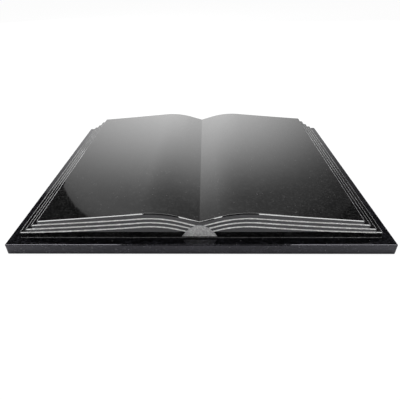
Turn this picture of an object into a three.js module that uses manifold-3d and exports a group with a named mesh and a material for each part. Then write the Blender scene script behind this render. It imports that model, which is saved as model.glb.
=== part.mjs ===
// Open-book grave memorial in polished black granite: a book carved from one block, bedded on a thin slab.
// Millimetres, +Z up. The reader stands at -Y, and the origin is the middle of the slab's underside.
import * as THREE from "three";
import { mergeVertices } from "three/addons/utils/BufferGeometryUtils.js";
import Module from "manifold-3d";

// Slab under the book
const SLAB_WIDTH = 500;
const SLAB_DEPTH = 400;
const SLAB_THICKNESS = 16;
const SLAB_ARRIS = 1.2; // chamfer along the slab's long and short edges
const SLAB_CORNER = 1.5; // chamfer on its four upright corners
const BED_JOINT = 0.3; // thin bed between slab and book

// Book block: its margin on the slab, and the pages
const SIDE_MARGIN = 15.5; // slab showing beside the covers
const END_MARGIN = 14; // slab showing in front of and behind the book
const ARRIS = 1.4; // chamfer on the book's outer edges
const CREST_HEIGHT = 38.1; // highest line of a page, above the book's underside
const CREST_OFFSET = 63; // from the gutter out to that line
const CREST_RADIUS = 140; // the page's bend over its crest
const GUTTER_ANGLE = 16.7; // degrees, the page's fall into the gutter
const PAGE_ANGLE = 5.2; // degrees, where the bend ends and the page falls away outwards

// Leaf blocks from the page down to the cover, which step out at the sides
const FORE_STEP = 9; // how far each block stands out past the one above it
const LEAF_DROPS = [0, 7.5, 13.7, 20]; // each block's top below the page, at the crest
const FORE_HEIGHTS = [26.4, 20.1, 13.7, 8.6]; // each block's top at its own outer edge
const FORE_ANGLES = [4.4, 4, 3, 1]; // degrees, its fall at that edge

// Carving on both ends of the book
const LINE_WIDTH = 2; // engraved lines between the leaf blocks
const LINE_DEPTH = 1.2;
const LINE_OVERRUN = 1; // how far a line runs out past the block above it
const ARCH_HALF_WIDTH = 23; // sunk arch of the spine, below the gutter
const ARCH_SILL = 2.4; // its flat foot, above the book's underside
const ARCH_RISE = 18;
const ARCH_DEPTH = 1.6;

// Facets
const CREST_FACETS = 10;
const FALL_FACETS = 6;
const ARCH_FACETS = 12;

const CLEAR = 5; // how far a cutter stands out of the stone
const COVER = LEAF_DROPS.length - 1; // the lowest block is the cover
const COVER_HALF_WIDTH = SLAB_WIDTH / 2 - SIDE_MARGIN;
const BOOK_DEPTH = SLAB_DEPTH - 2 * END_MARGIN;

const { degToRad, lerp } = THREE.MathUtils;
const slope = (degrees) => Math.tan(degToRad(degrees));
const point = (x, y) => new THREE.Vector2(x, y);

// The bend over the crest runs between these two distances from the gutter.
const BEND_START = CREST_OFFSET - CREST_RADIUS * Math.sin(degToRad(GUTTER_ANGLE));
const BEND_END = CREST_OFFSET + CREST_RADIUS * Math.sin(degToRad(PAGE_ANGLE));

const wasm = await Module();
wasm.setup();

// Closed geometry to solid and back
function toSolid(geometry) {
  const bare = geometry.clone();
  bare.deleteAttribute("normal");
  bare.deleteAttribute("uv");
  const merged = mergeVertices(bare);
  const vertProperties = new Float32Array(merged.attributes.position.array);
  const triVerts = new Uint32Array(merged.index.array);
  return new wasm.Manifold(new wasm.Mesh({ numProp: 3, vertProperties, triVerts }));
}

function toGeometry(solid) {
  const { vertProperties, triVerts } = solid.getMesh();
  const geometry = new THREE.BufferGeometry();
  geometry.setAttribute("position", new THREE.BufferAttribute(vertProperties, 3));
  geometry.setIndex(new THREE.BufferAttribute(triVerts, 1));
  const faceted = geometry.toNonIndexed();
  faceted.computeVertexNormals();
  return faceted;
}

// A block of the given length from z = 0, with its end edges chamfered inside the outline
function chamferedBlock(outline, length, arris) {
  const block = new THREE.ExtrudeGeometry(new THREE.Shape(outline), {
    depth: length - 2 * arris,
    bevelThickness: arris,
    bevelSize: arris,
    bevelOffset: -arris,
    bevelSegments: 1,
  });
  return block.translate(0, 0, arris);
}

const foreEdge = (level) => COVER_HALF_WIDTH - (COVER - level) * FORE_STEP;

// Height of a block's top at a distance from the gutter: a straight fall to the gutter, the bend over the
// crest, then one cubic that reaches the outer edge at its own height and fall
function leafHeight(level, distance) {
  const bend = (x) => {
    const reach = x - CREST_OFFSET;
    return CREST_HEIGHT - LEAF_DROPS[level] - CREST_RADIUS + Math.sqrt(CREST_RADIUS ** 2 - reach ** 2);
  };
  if (distance < BEND_START) return bend(BEND_START) - slope(GUTTER_ANGLE) * (BEND_START - distance);
  if (distance <= BEND_END) return bend(distance);
  const span = foreEdge(level) - BEND_END;
  const t = (distance - BEND_END) / span;
  const startFall = -slope(PAGE_ANGLE) * span;
  const endFall = -slope(FORE_ANGLES[level]) * span;
  return (
    bend(BEND_END) * (2 * t ** 3 - 3 * t ** 2 + 1) +
    startFall * (t ** 3 - 2 * t ** 2 + t) +
    FORE_HEIGHTS[level] * (3 * t ** 2 - 2 * t ** 3) +
    endFall * (t ** 3 - t ** 2)
  );
}

const onLeaf = (level, distance, lift = 0) => point(distance, leafHeight(level, distance) + lift);

// Distances at which a block's top is drawn between two ends
function stations(level, start, end) {
  const marks = [start];
  for (let i = 0; i <= CREST_FACETS; i++) {
    const angle = degToRad(lerp(-GUTTER_ANGLE, PAGE_ANGLE, i / CREST_FACETS));
    marks.push(CREST_OFFSET + CREST_RADIUS * Math.sin(angle));
  }
  for (let i = 1; i < FALL_FACETS; i++) {
    marks.push(lerp(BEND_END, foreEdge(level), i / FALL_FACETS));
  }
  marks.push(end);
  return marks.filter((mark) => mark >= start && mark <= end);
}

const mirrored = (points) => points.map(({ x, y }) => point(-x, y)).reverse();

// End view of the book, from the underside's right corner up the stepped blocks to the gutter, then mirrored
function bookOutline() {
  const right = [point(COVER_HALF_WIDTH - ARRIS, 0), point(COVER_HALF_WIDTH, ARRIS)];
  for (let level = COVER; level > 0; level--) {
    const edge = foreEdge(level);
    right.push(point(edge, FORE_HEIGHTS[level] - ARRIS), onLeaf(level, edge - ARRIS));
    right.push(onLeaf(level, edge - FORE_STEP));
  }
  const edge = foreEdge(0);
  right.push(point(edge, FORE_HEIGHTS[0] - ARRIS));
  const page = stations(0, 0, edge - ARRIS).map((distance) => onLeaf(0, distance));
  right.push(...page.reverse());
  const left = mirrored(right).slice(1);
  return [...right, ...left];
}

// Where an engraved line meets the arch: its start, found by halving
function lineStart(level) {
  let inside = 0;
  let outside = ARCH_HALF_WIDTH;
  while (outside - inside > LINE_DEPTH / 100) {
    const middle = (inside + outside) / 2;
    if (leafHeight(level, middle) < archHeight(middle)) inside = middle;
    else outside = middle;
  }
  return inside;
}

const archHeight = (x) => ARCH_SILL + ARCH_RISE * (1 - (x / ARCH_HALF_WIDTH) ** 2);

function archOutline() {
  const outline = [];
  for (let i = 0; i <= ARCH_FACETS; i++) {
    const x = lerp(ARCH_HALF_WIDTH, -ARCH_HALF_WIDTH, i / ARCH_FACETS);
    outline.push(point(x, archHeight(x)));
  }
  return outline;
}

// One engraved line, from inside the arch out past the edge of the block above it
function lineOutline(level) {
  const start = lineStart(level) - LINE_WIDTH;
  const marks = stations(level, start, foreEdge(level - 1) + LINE_OVERRUN);
  const upper = marks.map((distance) => onLeaf(level, distance, LINE_WIDTH / 2));
  const lower = marks.map((distance) => onLeaf(level, distance, -LINE_WIDTH / 2));
  return [...lower, ...upper.reverse()];
}

// The same cut into both ends of the book
function cutBothEnds(solid, outline, depth) {
  let cut = solid;
  for (const start of [-CLEAR, BOOK_DEPTH - depth]) {
    const shape = new THREE.Shape(outline);
    const cutter = new THREE.ExtrudeGeometry(shape, { depth: depth + CLEAR, bevelEnabled: false });
    cut = cut.subtract(toSolid(cutter.translate(0, 0, start)));
  }
  return cut;
}

function carvedBook() {
  let book = toSolid(chamferedBlock(bookOutline(), BOOK_DEPTH, ARRIS));
  for (let level = 1; level <= COVER; level++) {
    const line = lineOutline(level);
    book = cutBothEnds(book, line, LINE_DEPTH);
    book = cutBothEnds(book, mirrored(line), LINE_DEPTH);
  }
  return toGeometry(cutBothEnds(book, archOutline(), ARCH_DEPTH));
}

// Plan of the slab with its corners taken off
function slabOutline() {
  const quarter = (across, along) => [
    point(across * (SLAB_WIDTH / 2 - SLAB_CORNER), along * (SLAB_DEPTH / 2)),
    point(across * (SLAB_WIDTH / 2), along * (SLAB_DEPTH / 2 - SLAB_CORNER)),
  ];
  return [
    ...quarter(1, 1),
    ...quarter(1, -1).reverse(),
    ...quarter(-1, -1),
    ...quarter(-1, 1).reverse(),
  ];
}

const polishedGranite = new THREE.MeshStandardMaterial({
  name: "polished_black_granite",
  color: 0x14151a,
  roughness: 0.08,
  metalness: 0,
});

const baseSlab = new THREE.Mesh(
  chamferedBlock(slabOutline(), SLAB_THICKNESS, SLAB_ARRIS),
  polishedGranite,
);
baseSlab.name = "base_slab";

// The book is drawn standing on its end, so it is laid down along Y.
const openBook = new THREE.Mesh(carvedBook(), polishedGranite.clone());
openBook.name = "open_book";
openBook.rotation.x = Math.PI / 2;
openBook.position.set(0, BOOK_DEPTH / 2, SLAB_THICKNESS + BED_JOINT);

const memorial = new THREE.Group();
memorial.add(baseSlab, openBook);

export default memorial;
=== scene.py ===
# Open-book grave memorial in polished black granite: fine edges, engraved lines, finishes, stage and camera.
import math
import bmesh
import bpy
from mathutils import Matrix, Vector


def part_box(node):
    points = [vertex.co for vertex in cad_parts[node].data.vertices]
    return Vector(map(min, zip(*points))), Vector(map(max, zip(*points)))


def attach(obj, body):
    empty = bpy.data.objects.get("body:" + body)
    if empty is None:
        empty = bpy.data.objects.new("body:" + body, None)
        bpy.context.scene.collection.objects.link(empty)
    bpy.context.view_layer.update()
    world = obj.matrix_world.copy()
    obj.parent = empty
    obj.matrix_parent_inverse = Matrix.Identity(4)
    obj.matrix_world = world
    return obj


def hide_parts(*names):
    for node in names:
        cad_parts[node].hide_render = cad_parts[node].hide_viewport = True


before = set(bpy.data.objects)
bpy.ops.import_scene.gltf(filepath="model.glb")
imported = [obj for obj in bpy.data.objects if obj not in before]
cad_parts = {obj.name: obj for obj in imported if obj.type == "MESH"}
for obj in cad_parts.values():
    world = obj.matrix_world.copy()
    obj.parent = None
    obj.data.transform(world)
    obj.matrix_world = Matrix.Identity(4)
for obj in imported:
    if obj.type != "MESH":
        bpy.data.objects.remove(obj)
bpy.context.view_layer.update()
MM = 0.001

# Sizes read from the frame, in metres
slab_low, slab_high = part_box("base_slab")
book_low, book_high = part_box("open_book")
SLAB_TOP = slab_high.z
BOOK_FOOT = book_low.z
BOOK_BACK = book_high.y
BOOK_DEPTH = book_high.y - book_low.y
COVER_HALF_WIDTH = book_high.x
CREST_HEIGHT = book_high.z - book_low.z

# Pages: a straight fall into the gutter, a bend over the crest and a long fall outwards
CREST_OFFSET = 63 * MM
CREST_RADIUS = 140 * MM
GUTTER_ANGLE = math.radians(16.7)
PAGE_ANGLE = math.radians(5.2)
BEND_START = CREST_OFFSET - CREST_RADIUS * math.sin(GUTTER_ANGLE)
BEND_END = CREST_OFFSET + CREST_RADIUS * math.sin(PAGE_ANGLE)

# Leaf blocks from the page down to the cover
FORE_STEP = 9 * MM
LEAF_DROPS = [0, 7.5 * MM, 13.7 * MM, 20 * MM]
FORE_HEIGHTS = [26.4 * MM, 20.1 * MM, 13.7 * MM, 8.6 * MM]
FORE_ANGLES = [math.radians(degrees) for degrees in (4.4, 4, 3, 1)]
COVER = len(LEAF_DROPS) - 1

# Edges and carving
BOOK_ARRIS = 1.4 * MM  # flat chamfer round both ends of the book
SIDE_ROUNDING = 2 * MM  # rounded long edges of the leaf blocks
SIDE_FACETS = 5
SLAB_ARRIS = 1.2 * MM
SLAB_CORNER = 1.5 * MM
POLISH_ROUNDING = 0.4 * MM  # left by the polishing pad along the chamfers
POLISH_FACETS = 3
SHARP_EDGE = math.radians(50)  # outward edges sharper than this are eased
CHAMFER_EDGE = math.radians(30)  # and then the chamfers' own edges, sharper than this
CREASE = math.radians(20)  # edges sharper than this stay sharp in the shading
ALONG_SHARE = 0.9  # an edge with this share of its length along the book runs lengthwise
UNDERSIDE = -0.99  # faces whose normals point down this far are undersides
LINE_RADIUS = 1 * MM
LINE_WOBBLE = 0.2  # share by which a line's radius wanders
LINE_SIDES = 12
LINE_STEP = 2 * MM
LINE_OVERRUN = 1 * MM
ARCH_HALF_WIDTH = 23 * MM
ARCH_SILL = 2.4 * MM
ARCH_RISE = 18 * MM
ARCH_DEPTH = 1.6 * MM
STROKE_RADIUS = 0.85 * MM  # tool strokes that run up the arch's face
STROKE_DEPTH = 0.22 * MM
STROKE_COUNT = 22
STROKE_END = 0.8 * MM  # left plain between a stroke and the arch's rim
STROKE_WOBBLE = 0.4
BEAD_RADIUS = 0.8 * MM  # sealant along the bed joint
BEAD_INSET = 0.6 * MM
BEAD_STEP = 4 * MM
BEAD_SIDES = 8
BEAD_WOBBLE = 0.25
WANDER_SCALE = 150.0  # waves of that wandering to the metre
TOUCH = 0.01 * MM  # closer than this is the same place
CLEAR = 5 * MM  # how far a cutter stands out of the stone

# Facets of the page's curve and of the arch
CREST_FACETS = 48
FALL_FACETS = 24
ARCH_FACETS = 40

# Camera that matches the photograph
IMAGE_SIZE = 400
SENSOR = 36.0
FOCAL_PIXELS = 344.6
CAMERA_PITCH = math.radians(32.96)
CAMERA_YAW = math.radians(-1.16)
CAMERA_ROLL = math.radians(0.73)
CAMERA_PLACE = Vector((0.0081, -0.5346, 0.2848 + SLAB_TOP))
CAMERA_REACH = 100.0


# Node helpers
def add_node(tree, kind, **settings):
    made = tree.nodes.new(kind)
    for name, value in settings.items():
        setattr(made, name, value)
    return made


def feed(tree, source, target):
    """Link an output to an input, or set the input to a plain value."""
    if isinstance(source, bpy.types.NodeSocket):
        tree.links.new(source, target)
    else:
        target.default_value = source


def math_node(tree, operation, *values):
    made = add_node(tree, "ShaderNodeMath", operation=operation)
    for socket, value in zip(made.inputs, values):
        feed(tree, value, socket)
    return made.outputs[0]


def map_range(tree, value, low, high, to_low, to_high, interpolation="SMOOTHSTEP"):
    made = add_node(tree, "ShaderNodeMapRange", interpolation_type=interpolation)
    for socket, given in zip(made.inputs, (value, low, high, to_low, to_high)):
        feed(tree, given, socket)
    return made.outputs["Result"]


def mix_colour(tree, factor, first, second):
    made = add_node(tree, "ShaderNodeMix", data_type="RGBA")
    feed(tree, factor, made.inputs["Factor"])
    feed(tree, first, made.inputs[6])
    feed(tree, second, made.inputs[7])
    return made.outputs[2]


def new_group(name, kind, inputs, outputs):
    """A node group with its sockets, given as (name, type, default), and its two end nodes."""
    tree = bpy.data.node_groups.new(name, kind)
    for label, socket_type, default in inputs:
        socket = tree.interface.new_socket(label, in_out="INPUT", socket_type=socket_type)
        if default is not None:
            socket.default_value = default
    for label, socket_type in outputs:
        tree.interface.new_socket(label, in_out="OUTPUT", socket_type=socket_type)
    return tree, add_node(tree, "NodeGroupInput"), add_node(tree, "NodeGroupOutput")


# Stone: crystals and waves are counted to the metre
POLISHED_CRYSTALS = 680.0
FROSTED_CRYSTALS = 900.0
SAWN_CRYSTALS = 700.0
CLOUD_SCALE = 90.0  # patches in which the crystals are darker or lighter
CLOUD_DETAIL = 3.0
CLOUD_RANGE = (0.35, 0.65)
CLOUD_SHADES = (0.7, 1.3)
DARK_POWER = 3.0  # turns an even spread of tones into mostly dark ones
FLECK_FADE = (0.25, 0.5)  # a fleck fades between these distances from its middle, in crystals
PITS_TO_A_CRYSTAL = 1.6
PIT_DETAIL = 4.0
POLISH_WAVES = 22.0
POLISH_WAVE_HEIGHT = 0.015 * MM
GRIT_HEIGHT = 0.25 * MM
SAW_MARKS = 60.0
SAW_MARK_BEND = 1.5
SAW_MARK_DEPTH = 0.1 * MM
SMEARS = 120.0
NOISE_RANGE = (0.3, 0.7)  # where nearly all values of a noise lie

# Share of the crystals that are pale flecks
BOOK_FLECKS = 0.006
SLAB_FLECKS = 0.012
ARRIS_FLECKS = 0.002
FROSTED_FLECKS = 0.2
SAWN_FLECKS = 0.12

# Colours of the dark crystals, the light crystals and the flecks
WHITE = (1, 1, 1, 1)
BLACK = (0.0004, 0.0004, 0.0005, 1)
PALE = (0.1, 0.1, 0.1, 1)
BOOK_COLOURS = (BLACK, (0.018, 0.018, 0.018, 1), PALE)
SLAB_COLOURS = (BLACK, (0.018, 0.018, 0.022, 1), PALE)
FROSTED_COLOURS = ((0.48, 0.48, 0.47, 1), (0.75, 0.75, 0.74, 1), (0.85, 0.85, 0.84, 1))
TOOLED_COLOURS = ((0.26, 0.26, 0.26, 1), (0.5, 0.5, 0.49, 1), (0.7, 0.7, 0.69, 1))
SAWN_COLOURS = ((0.03, 0.03, 0.032, 1), (0.07, 0.07, 0.074, 1), (0.16, 0.16, 0.16, 1))
SEAL_COLOURS = ((0.02, 0.02, 0.021, 1), (0.06, 0.06, 0.06, 1))

# Gloss: roughness runs between two values
BOOK_ROUGHNESS = (0.04, 0.08)
SLAB_ROUGHNESS = (0.05, 0.1)
FROSTED_ROUGHNESS = (0.7, 0.95)
SAWN_ROUGHNESS = (0.6, 0.8)
SEAL_ROUGHNESS = (0.2, 0.4)
GRANITE_IOR = 1.6
SLAB_IOR = 1.5
SLAB_TINT = (0.93, 0.91, 1, 1)


# Textures on the object's own coordinates
def object_place(tree):
    return add_node(tree, "ShaderNodeTexCoord").outputs["Object"]


def object_noise(tree, scale, detail=2.0):
    made = add_node(tree, "ShaderNodeTexNoise")
    feed(tree, object_place(tree), made.inputs["Vector"])
    feed(tree, scale, made.inputs["Scale"])
    feed(tree, detail, made.inputs["Detail"])
    return made.outputs["Fac"]


def crystal_grain_group():
    """Interlocking crystals of the stone: their tone, the pale flecks among them, and a fine relief."""
    tree, given, result = new_group(
        "crystal_grain",
        "ShaderNodeTree",
        [
            ("Crystal Scale", "NodeSocketFloat", POLISHED_CRYSTALS),
            ("Fleck Share", "NodeSocketFloat", BOOK_FLECKS),
        ],
        [
            ("Tone", "NodeSocketFloat"),
            ("Flecks", "NodeSocketFloat"),
            ("Relief", "NodeSocketFloat"),
        ],
    )
    crystals = add_node(tree, "ShaderNodeTexVoronoi", feature="F1")
    feed(tree, object_place(tree), crystals.inputs["Vector"])
    feed(tree, given.outputs["Crystal Scale"], crystals.inputs["Scale"])
    shades = add_node(tree, "ShaderNodeSeparateColor")
    feed(tree, crystals.outputs["Color"], shades.inputs["Color"])

    clouds = object_noise(tree, CLOUD_SCALE, CLOUD_DETAIL)
    drift = map_range(tree, clouds, *CLOUD_RANGE, *CLOUD_SHADES)
    mostly_dark = math_node(tree, "POWER", shades.outputs["Red"], DARK_POWER)
    feed(tree, math_node(tree, "MULTIPLY", mostly_dark, drift), result.inputs["Tone"])

    threshold = math_node(tree, "SUBTRACT", 1.0, given.outputs["Fleck Share"])
    chosen = math_node(tree, "GREATER_THAN", shades.outputs["Green"], threshold)
    core = map_range(tree, crystals.outputs["Distance"], *FLECK_FADE, 1.0, 0.0)
    feed(tree, math_node(tree, "MULTIPLY", chosen, core), result.inputs["Flecks"])

    pit_scale = math_node(tree, "MULTIPLY", given.outputs["Crystal Scale"], PITS_TO_A_CRYSTAL)
    feed(tree, object_noise(tree, pit_scale, PIT_DETAIL), result.inputs["Relief"])
    return tree


CRYSTAL_GRAIN = crystal_grain_group()


# Materials
def new_material(name):
    """A material with its tree and its Principled shader."""
    material = bpy.data.materials.new(name)
    material.use_nodes = True
    tree = material.node_tree
    return material, tree, tree.nodes["Principled BSDF"]


def set_crystals(tree, shader, crystal_scale, fleck_share, colours):
    """Colour a shader with the stone's crystals, and return the grain for the rest of its finish."""
    grain = add_node(tree, "ShaderNodeGroup", node_tree=CRYSTAL_GRAIN)
    feed(tree, crystal_scale, grain.inputs["Crystal Scale"])
    feed(tree, fleck_share, grain.inputs["Fleck Share"])
    dark, light, fleck = colours
    stone = mix_colour(tree, grain.outputs["Tone"], dark, light)
    feed(tree, mix_colour(tree, grain.outputs["Flecks"], stone, fleck), shader.inputs["Base Color"])
    return grain


def set_roughness(tree, shader, value, low, high, roughness):
    """Let the roughness run between two values as a texture runs from low to high."""
    feed(tree, map_range(tree, value, low, high, *roughness, "LINEAR"), shader.inputs["Roughness"])


def set_relief(tree, shader, value, height):
    """Raise the surface by up to a height where a texture is high."""
    bump = add_node(tree, "ShaderNodeBump")
    feed(tree, value, bump.inputs["Height"])
    feed(tree, height, bump.inputs["Distance"])
    feed(tree, bump.outputs["Normal"], shader.inputs["Normal"])


def polished_granite(name, colours, fleck_share, roughness, ior=GRANITE_IOR, tint=WHITE):
    """Mirror polish: near-black crystals with a few pale flecks, and very faint waves left by polishing."""
    material, tree, shader = new_material(name)
    grain = set_crystals(tree, shader, POLISHED_CRYSTALS, fleck_share, colours)
    set_roughness(tree, shader, grain.outputs["Tone"], 0.0, 1.0, roughness)
    set_relief(tree, shader, object_noise(tree, POLISH_WAVES), POLISH_WAVE_HEIGHT)
    shader.inputs["IOR"].default_value = ior
    shader.inputs["Specular Tint"].default_value = tint
    return material


def frosted_granite(name, colours):
    """Blasted carving: the same crystals broken open, pale and matt, with a gritty surface."""
    material, tree, shader = new_material(name)
    grain = set_crystals(tree, shader, FROSTED_CRYSTALS, FROSTED_FLECKS, colours)
    set_roughness(tree, shader, grain.outputs["Relief"], *NOISE_RANGE, FROSTED_ROUGHNESS)
    set_relief(tree, shader, grain.outputs["Relief"], GRIT_HEIGHT)
    shader.inputs["IOR"].default_value = GRANITE_IOR
    return material


def sawn_granite(name):
    """Undersides as they left the saw: dark grey, matt, with fine parallel marks of the blade."""
    material, tree, shader = new_material(name)
    set_crystals(tree, shader, SAWN_CRYSTALS, SAWN_FLECKS, SAWN_COLOURS)
    marks = add_node(tree, "ShaderNodeTexWave", wave_type="BANDS", bands_direction="Y")
    feed(tree, object_place(tree), marks.inputs["Vector"])
    feed(tree, SAW_MARKS, marks.inputs["Scale"])
    feed(tree, SAW_MARK_BEND, marks.inputs["Distortion"])
    set_roughness(tree, shader, marks.outputs["Fac"], 0.0, 1.0, SAWN_ROUGHNESS)
    set_relief(tree, shader, marks.outputs["Fac"], SAW_MARK_DEPTH)
    return material


def bedding_seal(name):
    """Dark sealant squeezed out of the bed joint, with a soft gloss."""
    material, tree, shader = new_material(name)
    smears = object_noise(tree, SMEARS)
    feed(tree, mix_colour(tree, smears, *SEAL_COLOURS), shader.inputs["Base Color"])
    set_roughness(tree, shader, smears, *NOISE_RANGE, SEAL_ROUGHNESS)
    return material


BOOK_POLISH = polished_granite("book_polish", BOOK_COLOURS, BOOK_FLECKS, BOOK_ROUGHNESS)
SLAB_POLISH = polished_granite(
    "slab_polish", SLAB_COLOURS, SLAB_FLECKS, SLAB_ROUGHNESS, SLAB_IOR, SLAB_TINT
)
ARRIS_POLISH = polished_granite("arris_polish", BOOK_COLOURS, ARRIS_FLECKS, SLAB_ROUGHNESS)
FROSTED = frosted_granite("frosted_carving", FROSTED_COLOURS)
TOOLED = frosted_granite("tooled_arch", TOOLED_COLOURS)
SAWN = sawn_granite("sawn_underside")
SEAL = bedding_seal("bedding_seal")


# Geometry node trees
def finish_tree(tree, geometry, material, result):
    """End a geometry tree: real geometry in one material."""
    realized = add_node(tree, "GeometryNodeRealizeInstances")
    feed(tree, geometry, realized.inputs["Geometry"])
    dressed = add_node(tree, "GeometryNodeSetMaterial")
    feed(tree, realized.outputs["Geometry"], dressed.inputs["Geometry"])
    feed(tree, material, dressed.inputs["Material"])
    feed(tree, dressed.outputs["Geometry"], result.inputs["Geometry"])


def stone_block_tree():
    """A flat outline drawn out into a closed block."""
    tree, given, result = new_group(
        "stone_block",
        "GeometryNodeTree",
        [
            ("Geometry", "NodeSocketGeometry", None),
            ("Along", "NodeSocketVector", None),
            ("Material", "NodeSocketMaterial", None),
        ],
        [("Geometry", "NodeSocketGeometry")],
    )
    drawn = add_node(tree, "GeometryNodeExtrudeMesh", mode="FACES")
    feed(tree, given.outputs["Geometry"], drawn.inputs["Mesh"])
    feed(tree, given.outputs["Along"], drawn.inputs["Offset"])
    feed(tree, 1.0, drawn.inputs["Offset Scale"])
    feed(tree, False, drawn.inputs["Individual"])
    start = add_node(tree, "GeometryNodeFlipFaces")
    feed(tree, given.outputs["Geometry"], start.inputs["Mesh"])
    joined = add_node(tree, "GeometryNodeJoinGeometry")
    feed(tree, drawn.outputs["Mesh"], joined.inputs["Geometry"])
    feed(tree, start.outputs["Mesh"], joined.inputs["Geometry"])
    closed = add_node(tree, "GeometryNodeMergeByDistance")
    feed(tree, joined.outputs["Geometry"], closed.inputs["Geometry"])
    feed(tree, TOUCH, closed.inputs["Distance"])
    finish_tree(tree, closed.outputs["Geometry"], given.outputs["Material"], result)
    return tree


def path_sweep_tree():
    """A round section swept along paths, its width wandering a little as a hand-led tool does."""
    tree, given, result = new_group(
        "path_sweep",
        "GeometryNodeTree",
        [
            ("Geometry", "NodeSocketGeometry", None),
            ("Radius", "NodeSocketFloat", LINE_RADIUS),
            ("Wobble", "NodeSocketFloat", LINE_WOBBLE),
            ("Step", "NodeSocketFloat", LINE_STEP),
            ("Sides", "NodeSocketInt", LINE_SIDES),
            ("Seed", "NodeSocketFloat", 0.0),
            ("Material", "NodeSocketMaterial", None),
        ],
        [("Geometry", "NodeSocketGeometry")],
    )
    path = add_node(tree, "GeometryNodeMeshToCurve")
    feed(tree, given.outputs["Geometry"], path.inputs["Mesh"])
    even = add_node(tree, "GeometryNodeResampleCurve", mode="LENGTH")
    feed(tree, path.outputs["Curve"], even.inputs["Curve"])
    feed(tree, given.outputs["Step"], even.inputs["Length"])
    wander = add_node(tree, "ShaderNodeTexNoise", noise_dimensions="4D")
    feed(tree, add_node(tree, "GeometryNodeInputPosition").outputs["Position"], wander.inputs["Vector"])
    feed(tree, given.outputs["Seed"], wander.inputs["W"])
    feed(tree, WANDER_SCALE, wander.inputs["Scale"])
    thinnest = math_node(tree, "SUBTRACT", 1.0, given.outputs["Wobble"])
    widest = math_node(tree, "ADD", 1.0, given.outputs["Wobble"])
    width = map_range(tree, wander.outputs[0], *NOISE_RANGE, thinnest, widest, "LINEAR")
    section = add_node(tree, "GeometryNodeCurvePrimitiveCircle", mode="RADIUS")
    feed(tree, given.outputs["Sides"], section.inputs["Resolution"])
    feed(tree, given.outputs["Radius"], section.inputs["Radius"])
    swept = add_node(tree, "GeometryNodeCurveToMesh")
    feed(tree, even.outputs["Curve"], swept.inputs["Curve"])
    feed(tree, section.outputs["Curve"], swept.inputs["Profile Curve"])
    feed(tree, width, swept.inputs["Scale"])
    feed(tree, True, swept.inputs["Fill Caps"])
    finish_tree(tree, swept.outputs["Mesh"], given.outputs["Material"], result)
    return tree


STONE_BLOCK = stone_block_tree()
PATH_SWEEP = path_sweep_tree()


# Mesh helpers
def add_object(name, mesh):
    made = bpy.data.objects.new(name, mesh)
    bpy.context.scene.collection.objects.link(made)
    return made


def add_tree(obj, tree, **values):
    """Put a geometry tree on an object, with its inputs named as in the tree but with _ for spaces."""
    modifier = obj.modifiers.new(tree.name, "NODES")
    modifier.node_group = tree
    for socket in tree.interface.items_tree:
        label = socket.name.replace(" ", "_").lower()
        if socket.in_out == "INPUT" and label in values:
            modifier[socket.identifier] = values[label]


def baked(source, name):
    """The finished mesh of an object with its modifiers, as a plain new object; the source is deleted."""
    scene_state = bpy.context.evaluated_depsgraph_get()
    mesh = bpy.data.meshes.new_from_object(
        source.evaluated_get(scene_state), preserve_all_data_layers=True, depsgraph=scene_state
    )
    bpy.data.objects.remove(source)
    mesh.name = name
    return add_object(name, mesh)


def face_object(name, points):
    """One flat face through points that run anticlockwise, seen from the side that it faces."""
    mesh = bpy.data.meshes.new(name)
    mesh.from_pydata(points, [], [list(range(len(points)))])
    return add_object(name, mesh)


def path_object(name, paths, closed=False):
    """Chains of edges, one for each list of points."""
    points = []
    edges = []
    for path in paths:
        first = len(points)
        points += path
        edges += [(first + i, first + i + 1) for i in range(len(path) - 1)]
        if closed:
            edges.append((len(points) - 1, first))
    mesh = bpy.data.meshes.new(name)
    mesh.from_pydata(points, edges, [])
    return add_object(name, mesh)


def eased(obj, wanted, least_angle, width, facets):
    """The object with the outward edges that a test picks chamfered, or rounded by several facets."""
    work = bmesh.new()
    work.from_mesh(obj.data)
    layers = work.edges.layers.float
    weight = layers.get("bevel_weight_edge") or layers.new("bevel_weight_edge")
    for edge in work.edges:
        outward = edge.calc_face_angle_signed(0.0) > least_angle
        edge[weight] = 1.0 if outward and wanted(edge) else 0.0
    work.to_mesh(obj.data)
    work.free()
    bevel = obj.modifiers.new("arris", "BEVEL")
    bevel.limit_method = "WEIGHT"
    bevel.width = width
    bevel.segments = facets
    bevel.material = 1
    return baked(obj, obj.name)


def any_edge(edge):
    return True


def lengthwise(edge):
    start, end = edge.verts
    return abs(end.co.y - start.co.y) > ALONG_SHARE * edge.calc_length()


def at_book_end(edge):
    return all(abs(corner.co.y) > BOOK_BACK - TOUCH for corner in edge.verts)


def lies_level(edge):
    start, end = edge.verts
    return abs(end.co.z - start.co.z) < TOUCH


def cut_away(obj, cutter):
    """Cut one object out of another, with the cutter's material on the cut faces."""
    cut = obj.modifiers.new(cutter.name, "BOOLEAN")
    cut.operation = "DIFFERENCE"
    cut.solver = "EXACT"
    cut.object = cutter
    cut.material_mode = "TRANSFER"


def keep_flats_flat(obj):
    """Smooth shading over the bends and eased edges, with the flat faces kept flat and creases sharp."""
    mesh = obj.data
    mesh.shade_smooth()
    mesh.set_sharp_from_angle(angle=CREASE)
    weighted = obj.modifiers.new("flat_faces", "WEIGHTED_NORMAL")
    weighted.keep_sharp = True
    weighted.weight = 100


def saw_underside(mesh, material):
    mesh.materials.append(material)
    for face in mesh.polygons:
        if face.normal.z < UNDERSIDE:
            face.material_index = len(mesh.materials) - 1


# Open book
def fore_edge(level):
    return COVER_HALF_WIDTH - (COVER - level) * FORE_STEP


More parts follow.
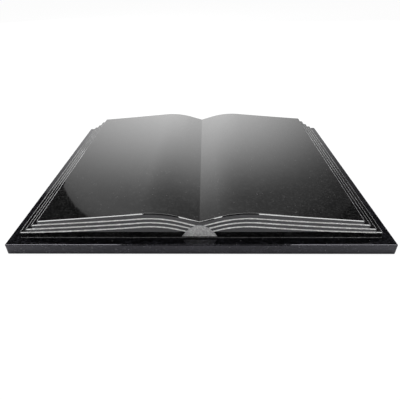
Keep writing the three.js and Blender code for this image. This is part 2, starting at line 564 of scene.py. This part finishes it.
def leaf_height(level, distance):
    """Height of a block's top above the book's foot, at a distance from the gutter."""

    def bend(reach):
        drop = CREST_RADIUS - math.sqrt(CREST_RADIUS**2 - (reach - CREST_OFFSET) ** 2)
        return CREST_HEIGHT - LEAF_DROPS[level] - drop

    if distance < BEND_START:
        return bend(BEND_START) - math.tan(GUTTER_ANGLE) * (BEND_START - distance)
    if distance <= BEND_END:
        return bend(distance)
    span = fore_edge(level) - BEND_END
    t = (distance - BEND_END) / span
    start_fall = -math.tan(PAGE_ANGLE) * span
    end_fall = -math.tan(FORE_ANGLES[level]) * span
    return (
        bend(BEND_END) * (2 * t**3 - 3 * t**2 + 1)
        + start_fall * (t**3 - 2 * t**2 + t)
        + FORE_HEIGHTS[level] * (3 * t**2 - 2 * t**3)
        + end_fall * (t**3 - t**2)
    )


def stations(level, start, end):
    """Distances from the gutter at which a block's top is drawn."""
    marks = [start]
    for i in range(CREST_FACETS + 1):
        angle = -GUTTER_ANGLE + (GUTTER_ANGLE + PAGE_ANGLE) * i / CREST_FACETS
        marks.append(CREST_OFFSET + CREST_RADIUS * math.sin(angle))
    for i in range(1, FALL_FACETS):
        marks.append(BEND_END + (fore_edge(level) - BEND_END) * i / FALL_FACETS)
    marks.append(end)
    return [mark for mark in marks if start <= mark <= end]


def book_point(across, height, depth):
    """A point from its distance to the gutter, its height above the book's foot and its place along Y."""
    return Vector((across, depth, BOOK_FOOT + height))


def book_outline():
    """The book's end view: up the steps at +X, over the pages and down at -X, in the reverse order."""
    right = [(COVER_HALF_WIDTH, 0.0)]
    for level in range(COVER, 0, -1):
        edge = fore_edge(level)
        right.append((edge, FORE_HEIGHTS[level]))
        right.append((edge - FORE_STEP, leaf_height(level, edge - FORE_STEP)))
    page = [(mark, leaf_height(0, mark)) for mark in stations(0, 0.0, fore_edge(0))]
    right += reversed(page)
    left = [(-across, height) for across, height in reversed(right[:-1])]
    return list(reversed(right + left))


def arch_height(across):
    return ARCH_SILL + ARCH_RISE * (1 - (across / ARCH_HALF_WIDTH) ** 2)


def line_start(level):
    """Where an engraved line meets the arch, found by halving."""
    inside, outside = 0.0, ARCH_HALF_WIDTH
    while outside - inside > LINE_RADIUS / 100:
        middle = (inside + outside) / 2
        if leaf_height(level, middle) < arch_height(middle):
            inside = middle
        else:
            outside = middle
    return inside


def engraved_paths():
    """The middle of each engraved line, on both pages and at both ends of the book."""
    paths = []
    for level in range(1, COVER + 1):
        start = line_start(level) - LINE_RADIUS
        marks = stations(level, start, fore_edge(level - 1) + LINE_OVERRUN)
        for end in (-BOOK_BACK, BOOK_BACK):
            for side in (-1, 1):
                paths.append([book_point(side * mark, leaf_height(level, mark), end) for mark in marks])
    return paths


def line_cutter():
    source = path_object("engraved_paths", engraved_paths())
    add_tree(source, PATH_SWEEP, radius=LINE_RADIUS, wobble=LINE_WOBBLE, step=LINE_STEP, material=FROSTED)
    return baked(source, "line_cutter")


def arch_cutter(end):
    """The sunk arch at one end, -1 for the front and 1 for the back."""
    marks = [ARCH_HALF_WIDTH * (2 * i / ARCH_FACETS - 1) for i in range(ARCH_FACETS + 1)]
    start = -BOOK_BACK - CLEAR if end < 0 else BOOK_BACK - ARCH_DEPTH
    source = face_object("arch_outline", [book_point(mark, arch_height(mark), start) for mark in marks])
    add_tree(source, STONE_BLOCK, along=(0.0, ARCH_DEPTH + CLEAR, 0.0), material=TOOLED)
    return baked(source, "arch_cutter")


def stroke_paths():
    """Upright tool strokes side by side across the arches at both ends."""
    inset = BOOK_BACK - ARCH_DEPTH + STROKE_RADIUS - STROKE_DEPTH
    half_width = ARCH_HALF_WIDTH - 2 * STROKE_RADIUS
    paths = []
    for i in range(STROKE_COUNT):
        across = half_width * (2 * i / (STROKE_COUNT - 1) - 1)
        foot = ARCH_SILL + STROKE_END
        head = arch_height(across) - STROKE_END
        for end in (-inset, inset):
            paths.append([book_point(across, foot, end), book_point(across, head, end)])
    return paths


def stroke_cutter():
    source = path_object("stroke_paths", stroke_paths())
    size = {"radius": STROKE_RADIUS, "wobble": STROKE_WOBBLE, "step": LINE_STEP, "sides": LINE_SIDES}
    add_tree(source, PATH_SWEEP, material=TOOLED, **size)
    return baked(source, "stroke_cutter")


def make_open_book():
    """The block with its edges eased, then the lines, arches and strokes cut into both ends."""
    outline = [book_point(across, height, -BOOK_BACK) for across, height in book_outline()]
    block = face_object("book_outline", outline)
    add_tree(block, STONE_BLOCK, along=(0.0, BOOK_DEPTH, 0.0), material=BOOK_POLISH)
    block = baked(block, "book_block")
    block.data.materials.append(ARRIS_POLISH)
    block = eased(block, lengthwise, SHARP_EDGE, SIDE_ROUNDING, SIDE_FACETS)
    block = eased(block, at_book_end, SHARP_EDGE, BOOK_ARRIS, 1)
    block = eased(block, any_edge, CHAMFER_EDGE, POLISH_ROUNDING, POLISH_FACETS)
    cutters = [line_cutter(), arch_cutter(-1), arch_cutter(1), stroke_cutter()]
    for cutter in cutters:
        cut_away(block, cutter)
    book = baked(block, "open_book_stone")
    for cutter in cutters:
        bpy.data.objects.remove(cutter)
    saw_underside(book.data, SAWN)
    keep_flats_flat(book)
    return baked(book, "open_book_stone")


# Base slab
def make_base_slab():
    """The slab's plan with its corners taken off, drawn up and eased along its edges."""
    half_width, half_depth = slab_high.x, slab_high.y
    corners = []
    for across, along in ((1, 1), (-1, 1), (-1, -1), (1, -1)):
        near_end = Vector((across * (half_width - SLAB_CORNER), along * half_depth, slab_low.z))
        near_side = Vector((across * half_width, along * (half_depth - SLAB_CORNER), slab_low.z))
        corners += [near_side, near_end] if across * along > 0 else [near_end, near_side]
    source = face_object("slab_outline", corners)
    add_tree(source, STONE_BLOCK, along=(0.0, 0.0, SLAB_TOP - slab_low.z), material=SLAB_POLISH)
    slab = baked(source, "slab_block")
    slab.data.materials.append(ARRIS_POLISH)
    slab = eased(slab, lies_level, SHARP_EDGE, SLAB_ARRIS, 1)
    slab = eased(slab, any_edge, CHAMFER_EDGE, POLISH_ROUNDING, POLISH_FACETS)
    saw_underside(slab.data, SAWN)
    keep_flats_flat(slab)
    return baked(slab, "base_slab_stone")


# Thin bead of sealant along the bed joint
def make_bedding_bead():
    joint = (SLAB_TOP + BOOK_FOOT) / 2
    across = COVER_HALF_WIDTH - BEAD_INSET
    along = BOOK_BACK - BEAD_INSET
    corners = [(1, -1), (1, 1), (-1, 1), (-1, -1)]
    path = [Vector((x * across, y * along, joint)) for x, y in corners]
    source = path_object("bead_path", [path], closed=True)
    size = {"radius": BEAD_RADIUS, "wobble": BEAD_WOBBLE, "step": BEAD_STEP, "sides": BEAD_SIDES}
    add_tree(source, PATH_SWEEP, material=SEAL, **size)
    bead = baked(source, "bedding_bead")
    bead.data.shade_smooth()
    return bead


# Stage: floor, surroundings, glowing panels and lights
FLOOR_REACH = 30.0
FLOOR_COLOUR = (0.85, 0.85, 0.88, 1)
FLOOR_ROUGHNESS = 0.9
FLOOR_GLOW = 0.93  # how much of the floor the camera sees as its own glow
FLOOR_WHITE = 1.04  # and how bright that is
HORIZON_BAND = (0.1, 0.25)  # the surroundings dim upwards between these heights of a direction
HORIZON_GLOW = 1.0
ROOM_GLOW = 0.04
PANEL_REACH = 2.5
PANEL_HEIGHT = 2.0
PANEL_WIDTH = 2.9
PANEL_ROUNDING = 0.05
PANEL_STEPS = 16  # facets of a rounded corner
BACK_PANEL_WIDTH = 3.49
BACK_PANEL_ROUNDING = 0.55
BACK_PANEL_OFFSET = 0.065
CORNER_DIMMING = (1.5, 1.9, 1.0, 0.55)  # from and to these distances from a glow's centre, and by how much

# Glows on the panels. A centre is given across the panel and above the floor.
BACK_GLOW = {
    "centre": (-0.15, 0.81), "left": 1.99, "right": 1.81, "up": 1.06,
    "peak": 2.47, "rim": 0.46, "lean": -0.13,
}
SIDE_GLOW = {
    "centre": (0, 0.6), "left": 1.6, "right": 1.6, "up": 1.0,
    "peak": 2.0, "rim": 0.3, "lean": 0.0,
}
FRONT_GLOW = {
    "centre": (0, 0.6), "left": 1.6, "right": 1.6, "up": 1.0,
    "peak": 1.0, "rim": 0.15, "lean": 0.0,
}

# Lights: place, the point that each is turned to, width, height and radiance
LIGHTS = {
    "left_strip": ((-1.28, -1.5, 1.93), (-1.28, 0, 0), 1.2, 0.44, 13.0),
    "right_strip": ((1.28, -1.5, 1.93), (1.28, 0, 0), 1.2, 0.44, 13.0),
    "left_low_light": ((-1.85, 2.35, 0.3), (0, 0, 0), 1.45, 0.5, 4.0),
    "right_low_light": ((1.55, 2.35, 0.3), (0, 0, 0), 0.45, 0.5, 2.0),
    "top_light": ((0, 0.9, 2.0), (0, 0, 0), 1.8, 1.2, 7.0),
}


def turned(place, target, axis):
    """A transform to a place, with one axis turned to a point and Y kept upwards."""
    facing = (Vector(target) - Vector(place)).to_track_quat(axis, "Y")
    return Matrix.Translation(place) @ facing.to_matrix().to_4x4()


def make_floor():
    """White floor. The camera sees mostly its own glow, so that only a faint shadow shows under the slab."""
    material, tree, shader = new_material("floor_white")
    shader.inputs["Base Color"].default_value = FLOOR_COLOUR
    shader.inputs["Roughness"].default_value = FLOOR_ROUGHNESS
    paper = add_node(tree, "ShaderNodeEmission")
    paper.inputs["Strength"].default_value = FLOOR_WHITE
    pick = add_node(tree, "ShaderNodeMixShader")
    seen = add_node(tree, "ShaderNodeLightPath").outputs["Is Camera Ray"]
    feed(tree, math_node(tree, "MULTIPLY", seen, FLOOR_GLOW), pick.inputs["Fac"])
    feed(tree, shader.outputs["BSDF"], pick.inputs[1])
    feed(tree, paper.outputs["Emission"], pick.inputs[2])
    feed(tree, pick.outputs["Shader"], tree.nodes["Material Output"].inputs["Surface"])
    square = ((-1, -1), (1, -1), (1, 1), (-1, 1))
    corners = [(across * FLOOR_REACH, along * FLOOR_REACH, 0) for across, along in square]
    floor = face_object("floor", corners)
    floor.data.materials.append(material)


def make_world():
    """White for the camera; for the stone a pale horizon under a dim room."""
    world = bpy.data.worlds.new("studio")
    bpy.context.scene.world = world
    world.use_nodes = True
    tree = world.node_tree
    tree.nodes.clear()
    direction = add_node(tree, "ShaderNodeSeparateXYZ")
    feed(tree, add_node(tree, "ShaderNodeTexCoord").outputs["Generated"], direction.inputs["Vector"])
    room = add_node(tree, "ShaderNodeBackground")
    room.inputs["Color"].default_value = WHITE
    glow = map_range(tree, direction.outputs["Z"], *HORIZON_BAND, HORIZON_GLOW, ROOM_GLOW)
    feed(tree, glow, room.inputs["Strength"])
    white = add_node(tree, "ShaderNodeBackground")
    white.inputs["Color"].default_value = WHITE
    pick = add_node(tree, "ShaderNodeMixShader")
    feed(tree, add_node(tree, "ShaderNodeLightPath").outputs["Is Camera Ray"], pick.inputs["Fac"])
    feed(tree, room.outputs["Background"], pick.inputs[1])
    feed(tree, white.outputs["Background"], pick.inputs[2])
    out = add_node(tree, "ShaderNodeOutputWorld")
    feed(tree, pick.outputs["Shader"], out.inputs["Surface"])


def emitter(name):
    """A material that only glows, with its tree and its Emission node."""
    material = bpy.data.materials.new(name)
    material.use_nodes = True
    tree = material.node_tree
    tree.nodes.clear()
    glow = add_node(tree, "ShaderNodeEmission")
    out = add_node(tree, "ShaderNodeOutputMaterial")
    feed(tree, glow.outputs["Emission"], out.inputs["Surface"])
    return material, tree, glow


def length_of(tree, across, above):
    squares = math_node(tree, "MULTIPLY", across, across)
    return math_node(tree, "SQRT", math_node(tree, "MULTIPLY_ADD", above, above, squares))


def glow_material(name, centre, left, right, up, peak, rim, lean):
    """A soft glow on a panel, brightest at its centre and dying away over the distances left, right and up
    to a rim that brightens by lean over each metre across, with the panel's far corners dimmed."""
    material, tree, glow = emitter(name)
    place = add_node(tree, "ShaderNodeSeparateXYZ")
    feed(tree, object_place(tree), place.inputs["Vector"])
    across = math_node(tree, "SUBTRACT", place.outputs["X"], centre[0])
    above = math_node(tree, "SUBTRACT", place.outputs["Y"], centre[1] - PANEL_HEIGHT / 2)
    on_left = math_node(tree, "DIVIDE", math_node(tree, "MINIMUM", across, 0.0), left)
    on_right = math_node(tree, "DIVIDE", math_node(tree, "MAXIMUM", across, 0.0), right)
    sideways = math_node(tree, "ADD", on_left, on_right)
    upwards = math_node(tree, "DIVIDE", above, up)
    heart = map_range(tree, length_of(tree, sideways, upwards), 0.0, 1.0, peak - rim, 0.0)
    rim_here = math_node(tree, "MULTIPLY_ADD", across, lean, rim)
    dimming = map_range(tree, length_of(tree, across, above), *CORNER_DIMMING)
    strength = math_node(tree, "MULTIPLY", math_node(tree, "ADD", heart, rim_here), dimming)
    feed(tree, strength, glow.inputs["Strength"])
    return material


def panel_outline(width, rounding):
    """A panel about its middle, with its two upper corners rounded."""
    half_width, half_height = width / 2, PANEL_HEIGHT / 2
    points = [(-half_width, -half_height, 0), (half_width, -half_height, 0)]
    for side in (1, -1):
        for i in range(PANEL_STEPS + 1):
            share = i / PANEL_STEPS if side > 0 else 1 - i / PANEL_STEPS
            angle = math.pi / 2 * share
            across = half_width - rounding + rounding * math.cos(angle)
            points.append((side * across, half_height - rounding + rounding * math.sin(angle), 0))
    return points


def add_panel(name, place, target, width, glow, rounding=PANEL_ROUNDING):
    """A flat light panel that the camera doesn't see, facing a point; its own X and Y run across and up."""
    made = face_object(name, panel_outline(width, rounding))
    made.data.materials.append(glow)
    made.matrix_world = turned(place, target, "Z")
    made.visible_camera = False


def make_panels():
    """One panel behind the book, whose glow the pages mirror, and weaker ones at the sides and in front."""
    half = PANEL_HEIGHT / 2
    back = glow_material("back_glow", **BACK_GLOW)
    side = glow_material("side_glow", **SIDE_GLOW)
    front = glow_material("front_glow", **FRONT_GLOW)
    place = (BACK_PANEL_OFFSET, PANEL_REACH, half)
    target = (BACK_PANEL_OFFSET, 0, half)
    add_panel("back_panel", place, target, BACK_PANEL_WIDTH, back, BACK_PANEL_ROUNDING)
    others = (("left_panel", -1, 0, side), ("right_panel", 1, 0, side), ("front_panel", 0, -1, front))
    for name, across, along, glow in others:
        place = (across * PANEL_REACH, along * PANEL_REACH, half)
        add_panel(name, place, (0, 0, half), PANEL_WIDTH, glow)


def add_light(name, place, target, width, height, radiance):
    lamp = bpy.data.lights.new(name, "AREA")
    lamp.shape = "RECTANGLE"
    lamp.size = width
    lamp.size_y = height
    lamp.energy = math.pi * radiance * width * height
    made = add_object(name, lamp)
    made.matrix_world = turned(place, target, "-Z")
    made.visible_camera = False


def make_lights():
    """Strips that the front chamfers mirror, low lights for the long edges, and one from above."""
    for name, setting in LIGHTS.items():
        add_light(name, *setting)


def make_camera():
    """The camera of the photograph: turned by yaw, tipped down by pitch, then rolled."""
    forward = Vector((
        math.sin(CAMERA_YAW) * math.cos(CAMERA_PITCH),
        math.cos(CAMERA_YAW) * math.cos(CAMERA_PITCH),
        -math.sin(CAMERA_PITCH),
    ))
    sideways = Vector((math.cos(CAMERA_YAW), -math.sin(CAMERA_YAW), 0.0))
    down = forward.cross(sideways)
    right = sideways * math.cos(CAMERA_ROLL) + down * math.sin(CAMERA_ROLL)
    up = sideways * math.sin(CAMERA_ROLL) - down * math.cos(CAMERA_ROLL)
    lens = bpy.data.cameras.new("camera")
    lens.sensor_width = SENSOR
    lens.lens = SENSOR * FOCAL_PIXELS / IMAGE_SIZE
    lens.clip_end = CAMERA_REACH
    camera = add_object("camera", lens)
    turn = Matrix((right, up, -forward)).transposed()
    camera.matrix_world = Matrix.Translation(CAMERA_PLACE) @ turn.to_4x4()
    bpy.context.scene.camera = camera


# Build everything, put each piece under the root body, and hide the frame's own parts
book = make_open_book()
slab = make_base_slab()
bead = make_bedding_bead()
make_floor()
make_world()
make_panels()
make_lights()
make_camera()
bpy.context.scene.view_settings.view_transform = "Standard"

for piece, granite in ((book, "book_granite"), (slab, "slab_granite"), (bead, "slab_granite")):
    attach(piece, "root")
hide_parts("open_book")
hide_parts("base_slab")
